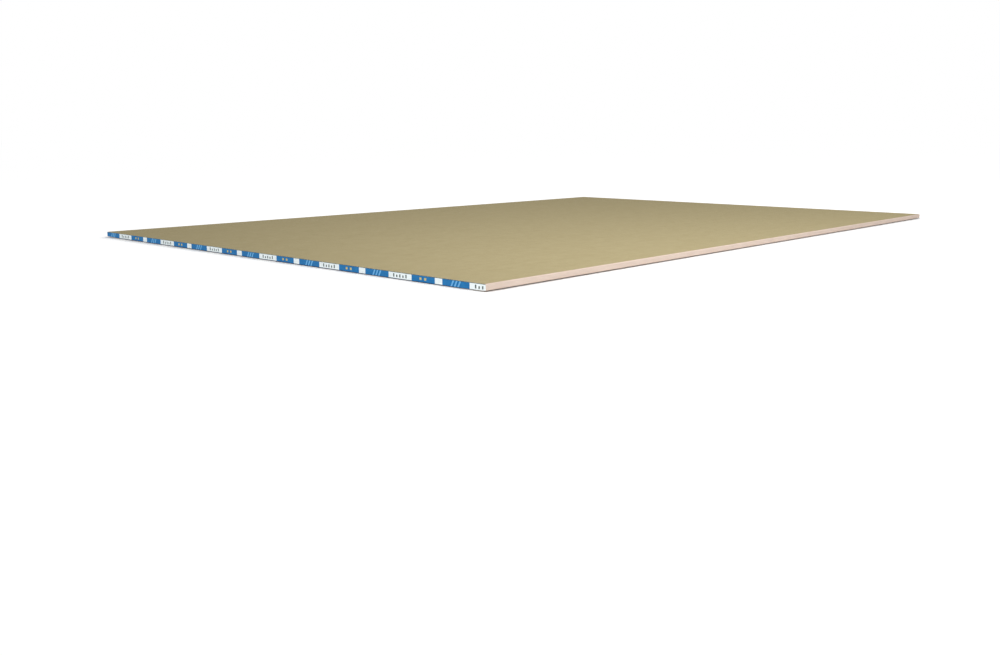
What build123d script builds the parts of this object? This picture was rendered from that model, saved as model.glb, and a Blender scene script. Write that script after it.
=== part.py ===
from build123d import *

import os

# Driving dimensions, in millimetres. The sheet lies with its back up and its face down.

# Gypsum board: 4 ft by 6 ft by 1/2 in
sheet_width = 1219.2
sheet_length = 1828.8
sheet_thickness = 12.7

# Tapered long edges: the face side thins towards them, to leave room for joint compound
taper_width = 60.0
taper_depth = 1.9
taper_bend_radius = 400.0

# Folds of the paper round the long edges, at the back and at the face
back_fold_radius = 1.2
face_fold_radius = 1.6

# Paper tape over each cut end, trimmed just inside the end's outline
tape_thickness = 0.25
tape_margin = 0.35


def board_section():
    """Section across the board: flat back, tapered face, long edges rounded by the paper's folds."""
    half_width = sheet_width / 2
    half_flat = half_width - taper_width
    corners = [
        (-half_flat, 0),
        (half_flat, 0),
        (half_width, taper_depth),
        (half_width, sheet_thickness),
        (-half_width, sheet_thickness),
        (-half_width, taper_depth),
    ]
    with BuildSketch(Plane.XZ) as section:
        with BuildLine():
            Polyline(*corners, close=True)
        make_face()
        # The sketch's Y is the height: bends of the taper, then feet of the long edges, then the back
        fillet(section.vertices().group_by(Axis.Y)[1], radius=face_fold_radius)
        fillet(section.vertices().group_by(Axis.Y)[-1], radius=back_fold_radius)
        fillet(section.vertices().group_by(Axis.Y)[0], radius=taper_bend_radius)
    return section.sketch


def drywall_sheet(section):
    """The board is rolled as one long strip, so it is its section drawn out and cut square."""
    return extrude(section, amount=sheet_length / 2, both=True)


def front_end_tape(section):
    """A flat strip of paper stuck on the cut end, following the end's outline."""
    strip = offset(section, amount=-tape_margin)
    return extrude(Pos(0, -sheet_length / 2, 0) * strip, amount=tape_thickness, dir=(0, -1, 0))


section = board_section()
front_tape = front_end_tape(section)
parts = {
    "drywall_sheet": drywall_sheet(section),
    "front_end_tape": front_tape,
    "back_end_tape": mirror(front_tape, about=Plane.XZ),
}

os.makedirs("parts", exist_ok=True)
for name, part in parts.items():
    export_step(part, f"parts/{name}.step")
    print(name, "volume", round(part.volume), "size", part.bounding_box().size)
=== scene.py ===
# %% [markdown]
# # A drywall sheet in Blender
#
# A drywall sheet is a slab of gypsum rolled between two papers. The smooth face paper turns round the
# long edges, the brown back paper lies over its turned-in margins, and a strip of printed paper tape
# covers each cut end. This sheet lies on the floor with its back up.
#
# The solids come from the CAD model, which is loaded first and is never moved. Each piece made below
# takes its size and place from it, so nothing has to be fitted by eye.

# %% Load the frame
import math

import bmesh
import bpy
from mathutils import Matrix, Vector


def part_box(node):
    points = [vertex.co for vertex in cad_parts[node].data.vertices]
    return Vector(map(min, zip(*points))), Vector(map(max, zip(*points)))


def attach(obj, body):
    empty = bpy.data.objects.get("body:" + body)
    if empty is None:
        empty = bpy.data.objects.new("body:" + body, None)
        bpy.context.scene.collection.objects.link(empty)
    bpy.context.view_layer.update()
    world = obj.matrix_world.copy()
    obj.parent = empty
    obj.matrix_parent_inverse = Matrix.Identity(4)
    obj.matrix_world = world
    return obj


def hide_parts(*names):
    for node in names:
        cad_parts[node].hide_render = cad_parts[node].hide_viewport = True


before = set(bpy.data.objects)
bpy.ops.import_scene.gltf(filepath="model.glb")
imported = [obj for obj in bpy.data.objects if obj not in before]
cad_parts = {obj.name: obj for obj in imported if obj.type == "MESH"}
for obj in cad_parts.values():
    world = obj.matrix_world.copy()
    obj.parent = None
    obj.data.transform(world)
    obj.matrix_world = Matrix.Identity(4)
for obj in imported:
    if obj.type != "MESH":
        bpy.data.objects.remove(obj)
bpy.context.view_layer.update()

print("CAD nodes:", sorted(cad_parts))

# %% [markdown]
# ## Working by hand in a script
#
# The pieces are modelled with the operators that the menus call. A mesh could be built from lists of
# points instead, but then nobody could see which step made which shape. Every piece starts as a
# primitive that is opened in edit mode, and it is closed again before modifiers go on. Two helpers do
# that.

# %% Helpers to open and close a piece
def start_piece(name):
    """Name the primitive just added, put its place and size in its mesh and open it in edit mode."""
    piece = bpy.context.object
    piece.name = name
    piece.data.name = name
    bpy.ops.object.transform_apply(location=True, rotation=True, scale=True)
    bpy.ops.object.mode_set(mode="EDIT")
    return piece


def finish_piece():
    """Leave edit mode and return the piece's face count."""
    bpy.ops.object.mode_set(mode="OBJECT")
    return len(bpy.context.object.data.polygons)


print("helpers ready: start_piece, finish_piece")

# %% [markdown]
# ## Picking by place
#
# In edit mode an operator acts on whatever is selected, so a helper picks corners, edges or faces, as
# the mouse would. They could be picked by number, but every cut changes the numbers. Where a face lies
# and which way it points stay true, so it is picked by those.

# %% Helpers to pick
def middle_and_way(part):
    """The middle of a corner, edge or face, and the way that it points or runs."""
    if isinstance(part, bmesh.types.BMVert):
        return part.co, part.normal
    if isinstance(part, bmesh.types.BMEdge):
        first, second = (corner.co for corner in part.verts)
        return (first + second) / 2, (second - first).normalized()
    return part.calc_center_median(), part.normal


def pick(kind, test):
    """Select only the VERT, EDGE or FACE parts whose middle and way pass the test, and count them."""
    bpy.ops.mesh.select_mode(type=kind)
    bpy.ops.mesh.select_all(action="DESELECT")
    shape = bmesh.from_edit_mesh(bpy.context.object.data)
    shape.normal_update()
    parts = {"VERT": shape.verts, "EDGE": shape.edges, "FACE": shape.faces}[kind]
    chosen = [part for part in parts if test(*middle_and_way(part))]
    for part in chosen:
        part.select_set(True)
    shape.select_flush_mode()
    bmesh.update_edit_mesh(bpy.context.object.data)
    return len(chosen)


print("helpers ready: middle_and_way, pick")

# %% [markdown]
# ## The board: a block at the CAD size
#
# On the real line the wet gypsum is rolled flat between the papers, so the board is one plain section
# drawn out along its length. It could be made by drawing that section and extruding it. Starting from a
# block and shaping it shows more of the tools, and each step then stands for one thing that the rollers
# do.
#
# The block stops a paper's thickness short of the top, because the back paper is laid on it as a ply.
# Everything is deselected first, because the CAD nodes are still selected from loading.

# %% Block for the board
MM = 0.001
board_low, board_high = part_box("drywall_sheet")
half_width = board_high.x
half_length = board_high.y
back_paper_step = 0.25 * MM
core_top = board_high.z - back_paper_step

block_size = Vector((2 * half_width, 2 * half_length, core_top - board_low.z))
block_middle = Vector((0, 0, board_low.z + block_size.z / 2))
bpy.ops.object.select_all(action="DESELECT")
bpy.ops.mesh.primitive_cube_add(size=1, location=block_middle, scale=block_size)
board = start_piece("board")
print("block", [round(s, 4) for s in block_size])

# %% [markdown]
# ## Tapered long edges
#
# Along both long edges the face side thins by about two millimetres over some sixty, so that joint
# compound can be spread level there. With the face down, the taper is the thin dark gap under the long
# edge.
#
# The bottom of the block is one face, so lifting its corners would lift all of it. Two bisects first
# score it lengthwise where the taper begins, on the bottom face alone, and then only the corners outside
# the scores are lifted. A wide bevel on the scores gives the taper the soft bend that a roller leaves.

# %% Taper the face side
TINY = 1e-6
SQUARE_ON = 0.99
taper_width = 60 * MM
taper_depth = 1.9 * MM
bend_reach = 6.3 * MM
bend_steps = 5
half_flat = half_width - taper_width


def along_length(way):
    """True for an edge that runs along the sheet's length."""
    return abs(way.y) > SQUARE_ON


for side in (-1, 1):
    pick("FACE", lambda at, facing: facing.z < -SQUARE_ON)
    bpy.ops.mesh.bisect(plane_co=(side * half_flat, 0, 0), plane_no=(1, 0, 0))
lifted = pick("VERT", lambda at, facing: abs(at.x) > half_flat + TINY and at.z < TINY)
bpy.ops.transform.translate(value=(0, 0, taper_depth))
scores = pick("EDGE", lambda at, way: along_length(way) and abs(abs(at.x) - half_flat) < TINY)
bpy.ops.mesh.bevel(offset=bend_reach, segments=bend_steps, affect="EDGES", clamp_overlap=False)
print("corners lifted", lifted, "scores softened", scores)

# %% [markdown]
# ## Folds of the paper
#
# The face paper is folded up round the long edge and in over the back. Paper this thick does not fold
# sharp, so each fold is a small round, a little larger at the face than at the back. A Subdivision
# Surface would round them too, but it would also soften the sawn ends. A bevel of the four long edges
# leaves those sharp.

# %% Round the folds
back_fold = 1.2 * MM
face_fold = 1.6 * MM
fold_steps = 6


def at_long_edge(at, way, height):
    """True for the edge along the board's side at that height."""
    return along_length(way) and abs(abs(at.x) - half_width) < TINY and abs(at.z - height) < TINY


for height, radius in ((core_top, back_fold), (taper_depth, face_fold)):
    folds = pick("EDGE", lambda at, way: at_long_edge(at, way, height))
    bpy.ops.mesh.bevel(offset=radius, segments=fold_steps, affect="EDGES", clamp_overlap=False)
    print("folds at", round(height / MM, 2), "mm up:", folds)

# %% [markdown]
# ## The back paper as a ply
#
# The brown paper is laid over the turned-in margins of the face paper and stops just short of the folds.
# Its cut edge is a step of a quarter of a millimetre, which catches the light when the sheet is seen
# close.
#
# It could be a thin piece of its own, but then two faces would lie in one place all over the sheet.
# Instead two bisects on the top mark where it stops, and the face between them is extruded up by its
# thickness.

# %% Lay the back paper
paper_setback = 1.4 * MM
half_back_paper = half_width - back_fold - paper_setback

for side in (-1, 1):
    pick("FACE", lambda at, facing: facing.z > SQUARE_ON)
    bpy.ops.mesh.bisect(plane_co=(side * half_back_paper, 0, 0), plane_no=(1, 0, 0))
plies = pick("FACE", lambda at, facing: facing.z > SQUARE_ON and abs(at.x) < half_back_paper)
bpy.ops.mesh.extrude_region_move(TRANSFORM_OT_translate={"value": (0, 0, back_paper_step)})
print("faces of back paper", plies)

# %% [markdown]
# ## The cut ends
#
# A saw cuts the ends square, through paper and gypsum alike. One material could tell the two apart by
# place, but a face of its own for each is easier to pick and to change.
#
# Each end is first made one face again, by dissolving the line that the back paper left on it. An inset
# then leaves a rim as wide as the paper is thick, so that the rim can be paper and the middle bare
# gypsum.

# %% Mark paper and core on the ends
end_paper = 0.35 * MM
pick("FACE", lambda at, facing: abs(facing.y) > SQUARE_ON)
bpy.ops.mesh.dissolve_faces()
ends = pick("FACE", lambda at, facing: abs(facing.y) > SQUARE_ON)
bpy.ops.mesh.inset(thickness=end_paper, depth=0)
print("end faces", ends)

# %% [markdown]
# ## Faces in a settled order
#
# Bevel and Extrude list their new faces in an order that can change from one run to the next. The list
# could be left so, because the shape is the same. But then a file made from it would differ each time.
# So the faces are sorted by how far they lie from the 3D cursor, which is moved for this to a point from
# which no two are equally far.

# %% Sort the board's faces
sorting_point = (1, 2, 3)
bpy.context.scene.cursor.location = sorting_point
bpy.ops.mesh.select_all(action="SELECT")
bpy.ops.mesh.sort_elements(type="CURSOR_DISTANCE", elements={"FACE"})
bpy.context.scene.cursor.location = (0, 0, 0)
board_faces = finish_piece()
print("board faces", board_faces)

# %% [markdown]
# ## Clean shading
#
# Smooth shading lets the folds look round, but on its own it also bends the light over the big flat
# faces beside them. A Weighted Normal modifier gives the flat faces the say, and it is applied here so
# that the mesh itself keeps the result.

# %% Shade the board
smooth_up_to = math.radians(40)


def triangle_count(piece):
    """How many triangles the piece's faces come to."""
    return sum(len(face.vertices) - 2 for face in piece.data.polygons)


bpy.ops.object.shade_smooth_by_angle(angle=smooth_up_to)
weighted = board.modifiers.new("flat faces stay flat", "WEIGHTED_NORMAL")
weighted.keep_sharp = True
bpy.ops.object.modifier_apply(modifier=weighted.name)
print("board triangles", triangle_count(board))

# %% [markdown]
# ## Maps set out one by one
#
# Other programs show a finish as a picture, laid on the piece by a UV map: a plan of its faces on a
# square page. Blender can unwrap a piece by itself, but it gives every face the same scale, and then a
# long edge is only a few pixels high. So the plans are set out in strips across the page. A
# gutter keeps the strips from bleeding into each other.
#
# One helper finds a place in a strip. The other gives a piece its map, under the name that the export
# looks for, and asks a function for the place of every corner of every face.

# %% Helpers for maps
map_name = "OFBake"
page_gutter = 0.006


def in_strip(strip, across, upwards):
    """A place on the page, from a strip's foot and head and the shares along and up the strip."""
    foot, head = strip
    width = 1 - 2 * page_gutter
    height = head - foot - 2 * page_gutter
    return page_gutter + across * width, foot + page_gutter + upwards * height


def lay_out(piece, place_on_page):
    """Give the piece its map, with every corner of every face where the function puts it."""
    bpy.ops.object.mode_set(mode="EDIT")
    shape = bmesh.from_edit_mesh(piece.data)
    shape.normal_update()
    page = shape.loops.layers.uv.verify()
    for face in shape.faces:
        middle = face.calc_center_median()
        for corner in face.loops:
            corner[page].uv = place_on_page(corner.vert.co, middle, face.normal)
    bmesh.update_edit_mesh(piece.data)
    finish_piece()
    piece.data.uv_layers.active.name = map_name


print("map helpers ready: in_strip, lay_out")

# %% [markdown]
# ## A flat map of the board
#
# The back takes the most room on the board's page, and the face less. At one scale for all, the two long
# edges and the two ends would be hair lines. So each has a strip of its own, stretched upwards.

# %% Share out the board's page
strip_shares = {
    "back": 0.56,
    "face": 0.24,
    "right edge": 0.05,
    "left edge": 0.05,
    "near end": 0.05,
    "far end": 0.05,
}
strips = {}
strip_foot = 0
for name, share in strip_shares.items():
    strips[name] = (strip_foot, strip_foot + share)
    strip_foot += share
print("strips", {name: [round(share, 2) for share in strip] for name, strip in strips.items()})

# %% [markdown]
# ## Along and round the board
#
# A face is laid in its strip by where it lies on the board. The two big faces go on as they are. A long
# edge could be seen square on, but its folds would be squeezed to nothing. So it is rolled out flat, folds
# and all, from the face to the edge of the back paper. On an end, the rims of paper get more than their
# share, because the white of the gypsum would bleed into a rim of one or two pixels.

# %% Lay out the board
rim_share = 0.2
girth_low = taper_depth - face_fold
girth_high = board_high.z + half_width - half_back_paper


def girth_share(at):
    """How far round a long edge a point is, from the face's fold up to the edge of the back paper."""
    inwards = half_width - abs(at.x)
    girth = at.z + inwards if at.z > board_high.z / 2 else at.z - inwards
    return (girth - girth_low) / (girth_high - girth_low)


def end_share(height):
    """How far up an end's strip a height lies, with the thin rims of paper spread wide."""
    core_high = board_high.z - end_paper
    if height < end_paper:
        return rim_share * height / end_paper
    if height > core_high:
        return 1 - rim_share * (board_high.z - height) / end_paper
    return rim_share + (1 - 2 * rim_share) * (height - end_paper) / (core_high - end_paper)


def place_on_board_page(at, middle, facing):
    """Where one corner of a face of the board lies on the page."""
    lengthwise = (at.y + half_length) / (2 * half_length)
    crosswise = (at.x + half_width) / (2 * half_width)
    if abs(facing.y) > SQUARE_ON:
        return in_strip(strips["near end" if facing.y < 0 else "far end"], crosswise, end_share(at.z))
    if facing.z < -SQUARE_ON:
        return in_strip(strips["face"], lengthwise, crosswise)
    if abs(middle.x) < half_back_paper - TINY:
        return in_strip(strips["back"], lengthwise, crosswise)
    return in_strip(strips["right edge" if middle.x > 0 else "left edge"], lengthwise, girth_share(at))


lay_out(board, place_on_board_page)
print("board laid out, map", board.data.uv_layers.keys())

# %% [markdown]
# ## A toolbox for finishes
#
# A finish is a tree of nodes that ends in a shader. Nodes could be placed and wired one by one, but the
# same few groups come back in every paper. So the next cells give each group a plain name, and a finish
# then reads like a recipe.
#
# The first words are the plainest: add a node, link two sockets, start a material, and write a colour as
# on a colour card.

# %% Helpers for nodes
class Nodes:
    """A node tree with two short words: new for a node with its settings, and link for two sockets."""

    def __init__(self, tree):
        self.tree = tree

    def new(self, kind, **settings):
        node = self.tree.nodes.new(kind)
        for key, value in settings.items():
            setattr(node, key, value)
        return node

    def link(self, source, target):
        self.tree.links.new(source, target)


def new_finish(name):
    """A new material, its plain Principled shader, and its nodes."""
    finish = bpy.data.materials.new(name)
    finish.use_nodes = True
    return finish, finish.node_tree.nodes["Principled BSDF"], Nodes(finish.node_tree)


def linear(red, green, blue):
    """A colour written as on a colour card, 0 to 255, as the linear numbers that a shader takes."""
    parts = [c / 255 for c in (red, green, blue)]
    return [c / 12.92 if c <= 0.04045 else ((c + 0.055) / 1.055) ** 2.4 for c in parts] + [1]


print("node helpers ready: Nodes, new_finish, linear")

# %% [markdown]
# ## Grain
#
# All the visible surfaces are paper, so they share the same few causes: clouds where the pulp lay
# thicker, streaks along the run of the machine, short stray fibres, and a felt-like roughness. Each is
# one noise texture, stretched to suit. A photograph of paper could be wrapped round instead, but it
# would repeat, and its grain would have the wrong size on one piece or another. Noise on Object
# coordinates has its real size in metres everywhere.

# %% Helpers for grain
def noise_at(nodes, place, scale, detail):
    """A noise node that reads a place."""
    noise = nodes.new("ShaderNodeTexNoise")
    noise.inputs["Scale"].default_value = scale
    noise.inputs["Detail"].default_value = detail
    nodes.link(place, noise.inputs["Vector"])
    return noise


def swayed(nodes, place, sway, reach):
    """The place moved to and fro by up to sway in metres, once in about every reach in metres."""
    drift = nodes.new("ShaderNodeVectorMath", operation="MULTIPLY_ADD")
    nodes.link(noise_at(nodes, place, scale=1 / reach, detail=1).outputs["Color"], drift.inputs[0])
    drift.inputs[1].default_value = (2 * sway, 2 * sway, 2 * sway)
    nodes.link(place, drift.inputs[2])
    return drift.outputs["Vector"]


def grain(nodes, size, turn=0, detail=3, sway=0):
    """Noise whose grains have that size in metres along X, Y and Z, turned about Z by some degrees."""
    place = nodes.new("ShaderNodeTexCoord").outputs["Object"]
    if sway:
        place = swayed(nodes, place, sway, reach=max(size))
    mapping = nodes.new("ShaderNodeMapping", vector_type="TEXTURE")
    mapping.inputs["Rotation"].default_value = (0, 0, math.radians(turn))
    mapping.inputs["Scale"].default_value = size
    nodes.link(place, mapping.inputs["Vector"])
    return noise_at(nodes, mapping.outputs["Vector"], scale=1, detail=detail).outputs["Fac"]


print("grain helpers ready: noise_at, swayed, grain")

# %% [markdown]
# ## Numbers from noise
#
# Noise is a number for every place, mostly near a half. Before it is of use it is spread over the range
# that is wanted, or added to other noise. A colour ramp could spread it and colour it in one node, but
# then the two could not be changed apart.

# %% Helpers for numbers
def spread(nodes, source, low, high, start=0.3, end=0.7):
    """Turn a noise value between start and end into a number between low and high."""
    reach = nodes.new("ShaderNodeMapRange")
    for key, value in zip(("From Min", "From Max", "To Min", "To Max"), (start, end, low, high)):
        reach.inputs[key].default_value = value
    nodes.link(source, reach.inputs["Value"])
    return reach.outputs["Result"]


def combine(nodes, operation, first, second):
    """One number from two, each a socket or a plain number."""
    maths = nodes.new("ShaderNodeMath", operation=operation)
    for socket, value in zip(maths.inputs, (first, second)):
        if isinstance(value, (int, float)):
            socket.default_value = value
        else:
            nodes.link(value, socket)
    return maths.outputs["Value"]


print("number helpers ready: spread, combine")

# %% [markdown]
# ## Colour and relief
#
# A number becomes a look in two ways: as the share of one colour over another, and as a height that
# dents the surface. Real dents would take millions of faces for a grain this fine. A Bump node only
# turns the light as dents would.

# %% Helpers for colour and relief
def tint(nodes, share, under, over):
    """Mix one colour over another by a share. A colour is four numbers or a socket."""
    mix = nodes.new("ShaderNodeMix", data_type="RGBA")
    nodes.link(share, mix.inputs["Factor"])
    colour_sockets = [socket for socket in mix.inputs if socket.type == "RGBA"]
    for socket, value in zip(colour_sockets, (under, over)):
        if isinstance(value, list):
            socket.default_value = value
        else:
            nodes.link(value, socket)
    return next(socket for socket in mix.outputs if socket.type == "RGBA")


def emboss(nodes, shader, height, depth, strength=0.6):
    """Let a height value dent the surface by up to that depth in metres."""
    bump = nodes.new("ShaderNodeBump")
    bump.inputs["Distance"].default_value = depth
    bump.inputs["Strength"].default_value = strength
    nodes.link(height, bump.inputs["Height"])
    nodes.link(bump.outputs["Normal"], shader.inputs["Normal"])


print("look helpers ready: tint, emboss")

# %% [markdown]
# ## Stray fibres
#
# Recycled paper is full of short fibres that took the dye lighter or darker. They could be drawn as tiny
# strokes, thousands of them. It is quicker to stretch a noise into grains of a fibre's length and width,
# let it sway so that no fibre is quite straight, and colour only its rare peaks.

# %% Helper for fibres
fibre_sway_share = 1 / 8
peak_start, peak_end = 0.67, 0.75


def strew(nodes, colour, cover, fibres):
    """Strew fibres over a colour. A kind has a turn in degrees, a length, a width and a colour."""
    for turn, length, width, shade in fibres:
        sway = length * fibre_sway_share
        fibre = grain(nodes, size=(width, length, width), turn=turn, detail=1, sway=sway)
        share = spread(nodes, fibre, low=0, high=cover, start=peak_start, end=peak_end)
        colour = tint(nodes, share, colour, shade)
    return colour


print("fibre helper ready: strew")

# %% [markdown]
# ## Brown back paper
#
# The back is recycled board: khaki, dull, with faint clouds, streaks along the length and a scatter of
# pale and dark fibres a few millimetres long. One cloudy noise would give the colour, but not the run of
# the machine. With clouds, streaks and fibres apart, each can be made stronger or weaker alone.

# %% Finish: brown back paper
def brown_back_paper():
    finish, shader, nodes = new_finish("brown back paper")
    clouds = grain(nodes, size=(18 * MM, 28 * MM, 18 * MM), detail=5)
    streaks = grain(nodes, size=(4 * MM, 900 * MM, 4 * MM), detail=2)
    streak_share = 0.6
    tone = combine(nodes, "ADD", clouds, combine(nodes, "MULTIPLY", streaks, streak_share))
    share = spread(nodes, tone, low=0, high=1, start=0.5, end=1.1)
    colour = tint(nodes, share, linear(168, 155, 117), linear(176, 163, 126))
    fibres = (
        (-28, 4.2 * MM, 0.30 * MM, linear(200, 188, 154)),
        (19, 3.6 * MM, 0.26 * MM, linear(196, 182, 146)),
        (74, 3.2 * MM, 0.26 * MM, linear(190, 177, 141)),
        (52, 3.0 * MM, 0.22 * MM, linear(134, 119, 87)),
        (-6, 5.0 * MM, 0.34 * MM, linear(146, 132, 99)),
        (0, 0.8 * MM, 0.60 * MM, linear(118, 103, 76)),
    )
    colour = strew(nodes, colour, cover=0.7, fibres=fibres)
    nodes.link(colour, shader.inputs["Base Color"])
    felt = grain(nodes, size=(0.6 * MM, 1.1 * MM, 0.6 * MM), detail=4)
    nodes.link(spread(nodes, felt, low=0.82, high=0.95), shader.inputs["Roughness"])
    emboss(nodes, shader, combine(nodes, "ADD", felt, streaks), depth=0.05 * MM)
    shader.inputs["Specular IOR Level"].default_value = 0.04
    return finish


back_paper = brown_back_paper()
print("finish", back_paper.name, "nodes", len(back_paper.node_tree.nodes))

# %% [markdown]
# ## Pinkish beige face paper
#
# The face paper is finer and paler. It shows on the long edges, where folding it has drawn faint lines
# along the length, and on the underside. The lines could be cut into the mesh, but they are too fine for
# that. So they are noise stretched along Y, over a hundred times as long as it is high.

# %% Finish: face paper
def beige_face_paper():
    finish, shader, nodes = new_finish("beige face paper")
    clouds = grain(nodes, size=(30 * MM, 50 * MM, 30 * MM), detail=4)
    lines = grain(nodes, size=(1.2 * MM, 160 * MM, 1.2 * MM), detail=3)
    tone = combine(nodes, "ADD", clouds, lines)
    share = spread(nodes, tone, low=0, high=1, start=0.75, end=1.25)
    colour = tint(nodes, share, linear(219, 199, 184), linear(226, 207, 193))
    fibres = (
        (-20, 3.0 * MM, 0.25 * MM, linear(236, 221, 209)),
        (35, 2.6 * MM, 0.22 * MM, linear(204, 180, 163)),
    )
    colour = strew(nodes, colour, cover=0.6, fibres=fibres)
    nodes.link(colour, shader.inputs["Base Color"])
    felt = grain(nodes, size=(0.4 * MM, 0.9 * MM, 0.4 * MM), detail=4)
    nodes.link(spread(nodes, felt, low=0.74, high=0.88), shader.inputs["Roughness"])
    emboss(nodes, shader, combine(nodes, "ADD", felt, lines), depth=0.04 * MM)
    shader.inputs["Specular IOR Level"].default_value = 0.2
    return finish


face_paper = beige_face_paper()
print("finish", face_paper.name, "nodes", len(face_paper.node_tree.nodes))

# %% [markdown]
# ## Bare gypsum
#
# The core is foamed plaster: off-white, chalky, full of tiny bubbles, drawn darker as painted shade in
# their holes. The tape covers it, so a flat white would do. It is finished all the same, because the tape
# is torn off when the sheet is used.

# %% Finish: gypsum core
def gypsum_core():
    finish, shader, nodes = new_finish("gypsum core")
    chalk = grain(nodes, size=(6 * MM, 6 * MM, 6 * MM), detail=5)
    bubbles = grain(nodes, size=(0.5 * MM, 0.5 * MM, 0.5 * MM), detail=2)
    pit_dents_and_shade = spread(nodes, bubbles, low=0, high=1, start=0.62, end=0.7)
    pit_shade_share = 0.6
    colour = tint(nodes, chalk, linear(214, 210, 203), linear(232, 229, 223))
    # The pits take a darker grey: painted shade inside the bubble holes, which the bump below also dents.
    colour = tint(nodes, combine(nodes, "MULTIPLY", pit_dents_and_shade, pit_shade_share), colour, linear(172, 168, 160))
    nodes.link(colour, shader.inputs["Base Color"])
    emboss(nodes, shader, combine(nodes, "SUBTRACT", chalk, pit_dents_and_shade), depth=0.15 * MM)
    shader.inputs["Roughness"].default_value = 0.95
    shader.inputs["Specular IOR Level"].default_value = 0.2
    return finish


core = gypsum_core()
print("finish", core.name, "nodes", len(core.node_tree.nodes))

# %% [markdown]
# ## Dress the board
#
# The board could be three objects with one finish each, but it is one slab. So one mesh takes three
# finishes by where a face is: the raised ply on top is brown paper, the middle of each end is gypsum,
# and everything else is the face paper. Then the board takes the place of its CAD solid.

# %% Assign the board's finishes
def give(piece, finish):
    """Give the picked faces a finish that the piece has."""
    piece.active_material_index = piece.data.materials.find(finish.name)
    bpy.ops.object.material_slot_assign()


def in_core(at, facing):
    """True for the middle of an end, and not for the rim of paper round it."""
    between_rims = end_paper < at.z < board_high.z - end_paper
    return abs(facing.y) > SQUARE_ON and abs(at.x) < half_flat and between_rims


for finish in (face_paper, back_paper, core):
    board.data.materials.append(finish)
bpy.ops.object.mode_set(mode="EDIT")
on_back = pick("FACE", lambda at, facing: abs(at.x) < half_back_paper + TINY and at.z > core_top + TINY)
give(board, back_paper)
on_core = pick("FACE", in_core)
give(board, core)
finish_piece()
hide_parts("drywall_sheet")
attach(board, "root")
print("back paper faces", on_back, "core faces", on_core)

# %% [markdown]
# ## End tape: one repeat of the print
#
# The tape is a strip of white paper printed in blue, with the same run of blocks over and over. So one
# repeat is made and then copied along the end by an Array modifier, which is how the printing roller
# works.
#
# The print could be a picture on a plain strip. Here the blocks are cut into the strip with bisects, so
# that each block is its own face. Their edges then stay sharp however near the camera comes.

# %% Blank for one repeat
tape_low, tape_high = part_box("front_end_tape")
tape_length = tape_high.x - tape_low.x
tape_thickness = tape_high.y - tape_low.y
tape_height = tape_high.z - tape_low.z
repeats = 6.5
repeat_length = tape_length / repeats

bpy.ops.object.select_all(action="DESELECT")
bpy.ops.mesh.primitive_plane_add(
    size=1,
    location=(tape_low.x + repeat_length / 2, tape_low.y, tape_low.z + tape_height / 2),
    rotation=(math.radians(90), 0, 0),
)
bpy.context.object.scale = (repeat_length, tape_height, 1)
tape = start_piece("front_tape")
print("repeat", round(repeat_length / MM, 1), "mm by", round(tape_height / MM, 1), "mm")

# %% [markdown]
# ## Blocks, bars and squares
#
# The design is a plain one: a long and a short blue block between a long and a short white one, five
# bars on the long white block, a pair of squares on the short blue one, and slanted stripes on the long
# blue one. A dark line runs along the lower edge and a thin one along the upper edge. Both are printed
# borders, and their darkness is also painted shade at the tape's foot and head.
#
# The figures could be placed in millimetres. They are written in shares of the repeat and of the strip's
# height instead, so the design fits a tape of any size.

# %% Plan the print
block_shares = {"long blue": (0.00, 0.32), "long white": (0.32, 0.62), "short blue": (0.62, 0.91)}
# The two border lines are print, and they also stand for painted shade along the tape's foot and head.
lower_border_and_shade_share = 0.12
upper_border_and_shade_share = 0.92
bar_start_shares = (0.38, 0.42, 0.46, 0.50, 0.54)
bar_head_shares = (0.78, 0.62, 0.70, 0.62, 0.78)
bar_foot_share = 0.28
bar_width_share = 0.016
square_start_shares = (0.72, 0.78)
square_foot_share = 0.36
square_head_share = 0.70
square_width_share = 0.024

figures = []
for left, head in zip(bar_start_shares, bar_head_shares):
    figures.append((left, left + bar_width_share, bar_foot_share, head, "grey"))
for left in square_start_shares:
    figures.append((left, left + square_width_share, square_foot_share, square_head_share, "yellow"))
print("figures in one repeat", len(figures))

# %% [markdown]
# ## Cut along the plan
#
# A bisect cuts every face that is picked. Cutting the whole strip for each figure would slice the other
# blocks too and leave many slivers. So the cutter picks only the faces inside a figure's own block, and
# for the foot and the head of a figure only those between its two sides.

# %% Cut the blocks and figures
def along(share):
    """The place at a share of the way along the repeat."""
    return tape_low.x + share * repeat_length


def up(share):
    """The height at a share of the way up the strip."""
    return tape_low.z + share * tape_height


def cut(place, normal, inside):
    """Bisect only the faces whose middle is inside a span of shares along the strip."""
    pick("FACE", lambda at, facing: along(inside[0]) < at.x < along(inside[1]))
    bpy.ops.mesh.bisect(plane_co=place, plane_no=normal)


def cut_figure(left, right, low, high):
    """Cut a rectangle into the block round it: its two sides first, then its foot and head."""
    block = next(span for span in block_shares.values() if span[0] <= left < span[1])
    for share in (left, right):
        cut((along(share), 0, 0), (1, 0, 0), block)
    for share in (low, high):
        cut((0, 0, up(share)), (0, 0, 1), (left, right))


whole = (0, 1)
for _, stop in block_shares.values():
    cut((along(stop), 0, 0), (1, 0, 0), whole)
for share in (lower_border_and_shade_share, upper_border_and_shade_share):
    cut((0, 0, up(share)), (0, 0, 1), whole)
for left, right, low, high, _ in figures:
    cut_figure(left, right, low, high)
print("faces in one repeat", len(bmesh.from_edit_mesh(tape.data).faces))

# %% [markdown]
# ## Slanted stripes
#
# A stripe is what lies between two slanted cuts. Its corners could be moved by hand, but a bisect takes
# any plane, so a normal that leans is all that a slanted cut needs. The shares say where a stripe
# crosses the middle of the strip's height.

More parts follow.
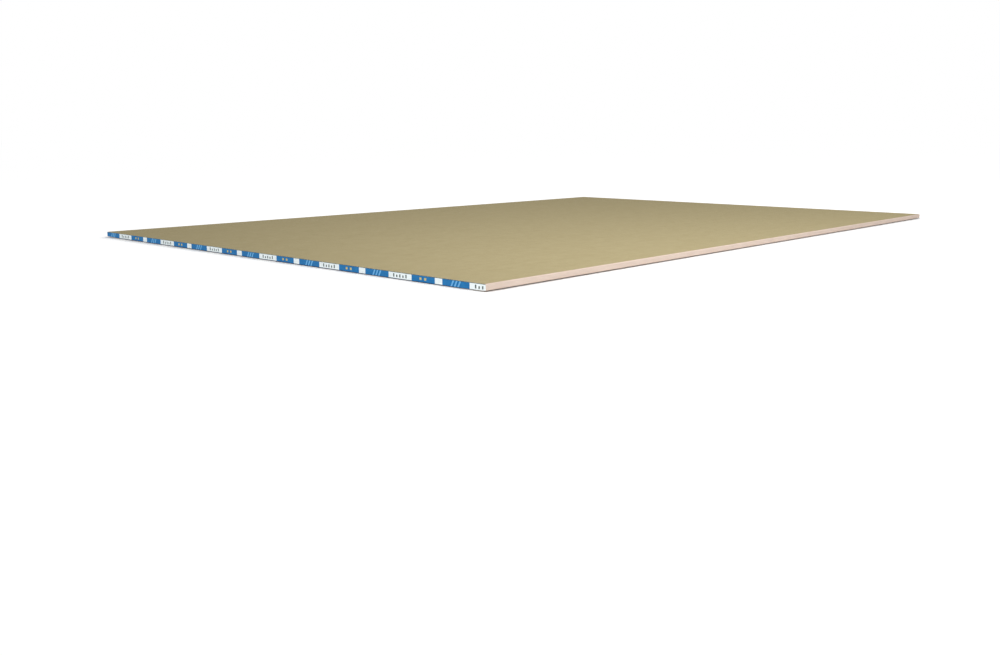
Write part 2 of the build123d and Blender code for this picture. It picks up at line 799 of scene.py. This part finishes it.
# %% Cut the slanted stripes
stripe_start_shares = (0.11, 0.15, 0.19)
stripe_width_share = 0.018
stripe_slope = 0.5
middle_share = 0.5
stripe_normal = Vector((1, 0, -stripe_slope)).normalized()
for left in stripe_start_shares:
    for share in (left, left + stripe_width_share):
        cut((along(share), 0, up(middle_share)), stripe_normal, block_shares["long blue"])
print("faces with stripes", len(bmesh.from_edit_mesh(tape.data).faces))

# %% [markdown]
# ## Inks
#
# The strip is coated white paper. Each ink lies on it a little unevenly, as flexo printing does: denser
# in some patches, with the paper's grain showing through. A flat colour for each would look like
# plastic. One function makes them all, from an ink's thinnest and its fullest colour.

# %% Finish: printed paper
def printed_paper(name, thin, full):
    """Paper printed with an ink, from its thinnest to its fullest colour."""
    finish, shader, nodes = new_finish(name)
    patches = grain(nodes, size=(10 * MM, 10 * MM, 3 * MM), detail=4)
    fibres = grain(nodes, size=(2.2 * MM, 0.4 * MM, 0.3 * MM), detail=3)
    fibre_share = 0.7
    density = combine(nodes, "ADD", patches, combine(nodes, "MULTIPLY", fibres, fibre_share))
    share = spread(nodes, density, low=0, high=1, start=0.6, end=1.1)
    nodes.link(tint(nodes, share, thin, full), shader.inputs["Base Color"])
    nodes.link(spread(nodes, fibres, low=0.55, high=0.72), shader.inputs["Roughness"])
    emboss(nodes, shader, fibres, depth=0.03 * MM)
    shader.inputs["Specular IOR Level"].default_value = 0.2
    return finish


inks = {
    "white paper": printed_paper("tape white paper", linear(225, 235, 237), linear(236, 244, 245)),
    "blue": printed_paper("tape blue ink", linear(28, 116, 174), linear(14, 102, 162)),
    "pale blue": printed_paper("tape pale blue ink", linear(112, 178, 222), linear(96, 164, 214)),
    "navy": printed_paper("tape navy ink", linear(30, 62, 92), linear(22, 50, 78)),
    "grey": printed_paper("tape grey ink", linear(92, 104, 100), linear(74, 86, 84)),
    "yellow": printed_paper("tape yellow ink", linear(206, 190, 120), linear(194, 176, 104)),
}
ink_names = list(inks)
for finish in inks.values():
    tape.data.materials.append(finish)
print("inks", ink_names)

# %% [markdown]
# ## Ink on each face
#
# The faces could be picked and inked block by block. But which ink a face takes follows from its middle
# alone, so one rule of two shares inks them all. The lines come first, then the figures and stripes, and
# what is left has the colour of its block.

# %% Print the repeat
def ink_at(share, height):
    """The ink at a place on the repeat."""
    # The navy lower border and the grey upper border are print and also painted shade at the tape's edges.
    if height < lower_border_and_shade_share:
        return "navy"
    if height > upper_border_and_shade_share:
        return "grey"
    for left, right, low, high, ink in figures:
        if left < share < right and low < height < high:
            return ink
    lean = stripe_slope * (height - middle_share) * tape_height / repeat_length
    if any(0 < share - lean - left < stripe_width_share for left in stripe_start_shares):
        return "pale blue"
    blue_blocks = block_shares["long blue"], block_shares["short blue"]
    return "blue" if any(start < share < stop for start, stop in blue_blocks) else "white paper"


shape = bmesh.from_edit_mesh(tape.data)
printed = dict.fromkeys(ink_names, 0)
for face in shape.faces:
    middle = face.calc_center_median()
    ink = ink_at((middle.x - tape_low.x) / repeat_length, (middle.z - tape_low.z) / tape_height)
    face.material_index = ink_names.index(ink)
    printed[ink] += 1
bmesh.update_edit_mesh(tape.data)
finish_piece()
print("faces by ink", printed)

# %% [markdown]
# ## Run the strip along the end
#
# A loop could copy the repeat, but the copies would then have to be joined and welded. The Array
# modifier sets them end to end and welds them as it goes. The last copy runs past the end of the sheet,
# so the strip is cut to length, and it is trimmed along the two tapers, with bisects that throw away
# what lies outside.

# %% Repeat and trim
copies = math.ceil(repeats)
weld_distance = 0.01 * MM
tape_margin = tape_low.z - board_low.z
taper_angle = math.atan2(taper_depth, taper_width)

array = tape.modifiers.new("repeats", "ARRAY")
array.count = copies
array.use_merge_vertices = True
array.merge_threshold = weld_distance
bpy.ops.object.modifier_apply(modifier=array.name)

trims = [(Vector((tape_high.x, 0, 0)), Vector((1, 0, 0)))]
for side in (-1, 1):
    taper_start = Vector((side * half_flat, 0, tape_margin / math.cos(taper_angle)))
    trims.append((taper_start, Vector((side * math.sin(taper_angle), 0, -math.cos(taper_angle)))))
bpy.ops.object.mode_set(mode="EDIT")
for place, normal in trims:
    bpy.ops.mesh.select_all(action="SELECT")
    bpy.ops.mesh.bisect(plane_co=place, plane_no=normal, clear_outer=True)
print("copies", copies, "trims", len(trims))

# %% [markdown]
# ## Corners and thickness
#
# The strip's corners are rounded like the board's, so that none stands out past a fold. Then Solidify
# gives it the thickness of the paper. It could be extruded by hand as well, but Solidify closes the rim
# by itself. It grows inwards, so the back of the tape lies on the end of the board.

# %% Round the corners and thicken
tape_corner = back_fold - tape_margin
corner_steps = 4
foot_height = taper_depth + tape_margin


def at_strip_corner(at, facing):
    """True for the four corners of the strip."""
    at_head_or_foot = at.z > tape_high.z - TINY or at.z < foot_height + TINY
    return abs(at.x) > tape_high.x - TINY and at_head_or_foot


corners = pick("VERT", at_strip_corner)
bpy.ops.mesh.bevel(offset=tape_corner, segments=corner_steps, affect="VERTICES", clamp_overlap=False)
strip_faces = finish_piece()
paper = tape.modifiers.new("paper", "SOLIDIFY")
paper.thickness = tape_thickness
paper.offset = -1
bpy.ops.object.modifier_apply(modifier=paper.name)
print("strip faces", strip_faces, "corners rounded", corners)
print("tape size in metres", [round(d, 5) for d in tape.dimensions])

# %% [markdown]
# ## Bare back and edges
#
# Only the outside is printed, but Solidify gave the back and the edges the inks of the faces that they
# grew from. Its material offset could shift them along the list of inks, and would go wrong when the
# list changes. So every face that does not look outwards is picked and goes back to white paper.

# %% Bare the back and edges
bpy.ops.object.mode_set(mode="EDIT")
bare = pick("FACE", lambda at, facing: facing.y > -SQUARE_ON)
give(tape, inks["white paper"])
tape_faces = finish_piece()
print("bare faces", bare, "of", tape_faces)

# %% [markdown]
# ## A flat map of the tape
#
# Unwrapped in one line, the strip would have a pixel or two for each small figure. So its map is set out
# like lines of writing on a page: each repeat of the print fills a row. The back, the long edges and the
# short ones are plain, and share three rows more.

# %% Lay out the tape
plain_rows = {"back": copies, "long edges": copies + 1, "short edges": copies + 2}
page_rows = copies + len(plain_rows)
edge_gap_share = 0.1


def in_row(row, across, upwards):
    """A place on the page, from the number of a row and the shares along and up it."""
    return in_strip((row / page_rows, (row + 1) / page_rows), across, upwards)


def beside(side, share):
    """A share put in the lower or upper half of a row, so that opposite edges lie side by side."""
    return (share * (1 - edge_gap_share) + (side > 0)) / 2


def place_on_tape_page(at, middle, facing):
    """Where one corner of a face of the tape lies on the page."""
    across = (at.x - tape_low.x) / tape_length
    upwards = (at.z - tape_low.z) / tape_height
    through = (at.y - tape_low.y) / tape_thickness
    if facing.y < -SQUARE_ON:
        row = int((middle.x - tape_low.x) / repeat_length)
        return in_row(row, across * repeats - row, upwards)
    if facing.y > SQUARE_ON:
        return in_row(plain_rows["back"], across, upwards)
    if abs(facing.z) > abs(facing.x):
        return in_row(plain_rows["long edges"], across, beside(facing.z, through))
    return in_row(plain_rows["short edges"], beside(facing.x, upwards), through)


lay_out(tape, place_on_tape_page)
print("tape laid out in", page_rows, "rows, map", tape.data.uv_layers.keys())

# %% [markdown]
# ## The second tape
#
# The far end has the same tape. A mirrored one would have its print back to front, so it is a copy with
# its own mesh, turned half round about the middle of the sheet. Each tape then takes the place of its
# CAD solid.

# %% Copy the tape to the far end
bpy.ops.object.duplicate(linked=False)
far_tape = bpy.context.object
far_tape.name = "back_tape"
far_tape.data.name = "back_tape"
bpy.ops.transform.rotate(value=math.pi, orient_axis="Z", center_override=(0, 0, 0))
bpy.ops.object.transform_apply(location=True, rotation=True, scale=True)

for piece, node in ((tape, "front_end_tape"), (far_tape, "back_end_tape")):
    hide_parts(node)
    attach(piece, "root")
    print(piece.name, "triangles", triangle_count(piece))

# %% [markdown]
# ## White room
#
# The sheet lies on a plain white floor in a white room, and the room lights it softly from all round.
#
# A white background could be had by turning the lamps up, but the paper would bleach too. Instead the
# Light Path node tells a look from a light ray: where the eye looks, straight or in a reflection, the
# room is pure white. Light on its way to the sheet gets less.

# %% Room
room_light = 0.60


def seen_by_eye(nodes):
    """1 for what the eye sees, straight, mirrored or through glass, and 0 for all other light."""
    rays = nodes.new("ShaderNodeLightPath").outputs
    mirrored = combine(nodes, "MAXIMUM", rays["Is Glossy Ray"], rays["Is Transmission Ray"])
    return combine(nodes, "MAXIMUM", rays["Is Camera Ray"], mirrored)


room = bpy.data.worlds.new("white room")
room.use_nodes = True
bpy.context.scene.world = room
sky = room.node_tree.nodes["Background"]
sky.inputs["Color"].default_value = (1, 1, 1, 1)
nodes = Nodes(room.node_tree)
brightness = spread(nodes, seen_by_eye(nodes), low=room_light, high=1, start=0, end=1)
nodes.link(brightness, sky.inputs["Strength"])
print("room light", room_light)

# %% [markdown]
# ## White floor
#
# The floor is a large plane, a hair below the sheet so that no two faces lie in one place. Lit by the
# room alone it would look grey beside the white background. So it glows a little, for the eye only, by
# what it lacks of white.
#
# The glow must not hide the shadow of the sheet. An Ambient Occlusion node sends a few short rays up
# from a spot on the floor and gives the share of them that meet nothing. The glow could be dimmed by that
# share, but so thin a sheet stops few rays. So a spot glows only when all its rays are free, and the
# floor shows a soft painted shadow beside the sheet, deeper than the lamps and the room cast there.

# %% Floor
floor_white = 0.86
floor_glow = 1 - room_light * floor_white
floor_size = 60
floor_gap = 0.05 * MM
shadow_reach = 0.15
shadow_rays = 4

bpy.ops.object.select_all(action="DESELECT")
bpy.ops.mesh.primitive_plane_add(size=floor_size, location=(0, 0, board_low.z - floor_gap))
floor = bpy.context.object
floor.name = "floor"
white_floor, shader, nodes = new_finish("white floor")
shader.inputs["Base Color"].default_value = (floor_white, floor_white, floor_white, 1)
shader.inputs["Roughness"].default_value = 1
shader.inputs["Specular IOR Level"].default_value = 0
shader.inputs["Emission Color"].default_value = (1, 1, 1, 1)
open_floor = nodes.new("ShaderNodeAmbientOcclusion", samples=shadow_rays)
open_floor.inputs["Distance"].default_value = shadow_reach
all_but_one = 1 - 1 / shadow_rays
# Where the sheet is near, the glow goes out: a painted shadow on the floor, deeper than the real light
# gives.
glow = spread(nodes, open_floor.outputs["AO"], low=0, high=floor_glow, start=all_but_one, end=1)
nodes.link(combine(nodes, "MULTIPLY", glow, seen_by_eye(nodes)), shader.inputs["Emission Strength"])
floor.data.materials.append(white_floor)
print("floor glow", round(floor_glow, 2))

# %% [markdown]
# ## Lamps
#
# One lamp overhead would light the back alone. So three soft ones share the work. A broad key lamp hangs
# above the front right corner and shines along the right long edge, so the back is palest there and
# darkens towards the left. A low, wide fill lamp stands in front and to the left. It skims over the back
# and falls full on the end, where the white of the tape needs it. A weak one low on the right lights the
# near half of the long edge, which the key lamp passes over.

# %% Lamps
def add_lamp(name, place, aim, width, height, power, spread_angle=180):
    """A soft lamp of that size in metres, turned towards its aim and hidden from the camera."""
    bpy.ops.object.light_add(type="AREA", location=place)
    lamp = bpy.context.object
    lamp.name = name
    lamp.data.shape = "RECTANGLE"
    lamp.data.size = width
    lamp.data.size_y = height
    lamp.data.energy = power
    lamp.data.spread = math.radians(spread_angle)
    lamp.visible_camera = False
    lamp.rotation_euler = (Vector(aim) - Vector(place)).to_track_quat("-Z", "Y").to_euler()
    print(name, "at", place, "power", power, "W")


add_lamp(
    "key lamp",
    place=(1.14, -1.35, 1.70),
    aim=(1.0, 0.76, 0),
    width=1.0,
    height=1.0,
    power=17.1,
    spread_angle=109,
)
add_lamp("fill lamp", place=(-1.30, -2.88, 0.35), aim=(0, -0.9, 0), width=1.6, height=0.5, power=14.3)
add_lamp("edge lamp", place=(2.20, -0.90, 0.25), aim=(0.61, -0.85, 0), width=0.8, height=0.4, power=2.0)

# %% [markdown]
# ## Camera
#
# The camera stands low at the front right corner, with a lens of normal width. It could be set by eye,
# but its place, direction and lens were worked out from where the sheet's corners lie in the photograph,
# with the real width and length as the scale. A small shift of the frame puts the sheet at the same
# height in the picture.

# %% Camera
camera_azimuth = 42.461
camera_elevation = 7.596
camera_beyond_edge = 0.994
camera_before_end = 1.059
camera_above_back = 0.2196
camera_sensor = 36
camera_lens = 35.02
camera_shift = (0.0019, -0.0610)

camera_data = bpy.data.cameras.new("camera")
camera_data.sensor_width = camera_sensor
camera_data.lens = camera_lens
camera_data.shift_x, camera_data.shift_y = camera_shift
camera = bpy.data.objects.new("camera", camera_data)
bpy.context.scene.collection.objects.link(camera)
camera.location.x = half_width + camera_beyond_edge
camera.location.y = -half_length - camera_before_end
camera.location.z = board_high.z + camera_above_back
camera.rotation_euler = (math.radians(90 - camera_elevation), 0, math.radians(camera_azimuth))
bpy.context.scene.camera = camera
bpy.context.scene.view_settings.view_transform = "Standard"
print("camera at", [round(c, 3) for c in camera.location], "lens", camera_lens)
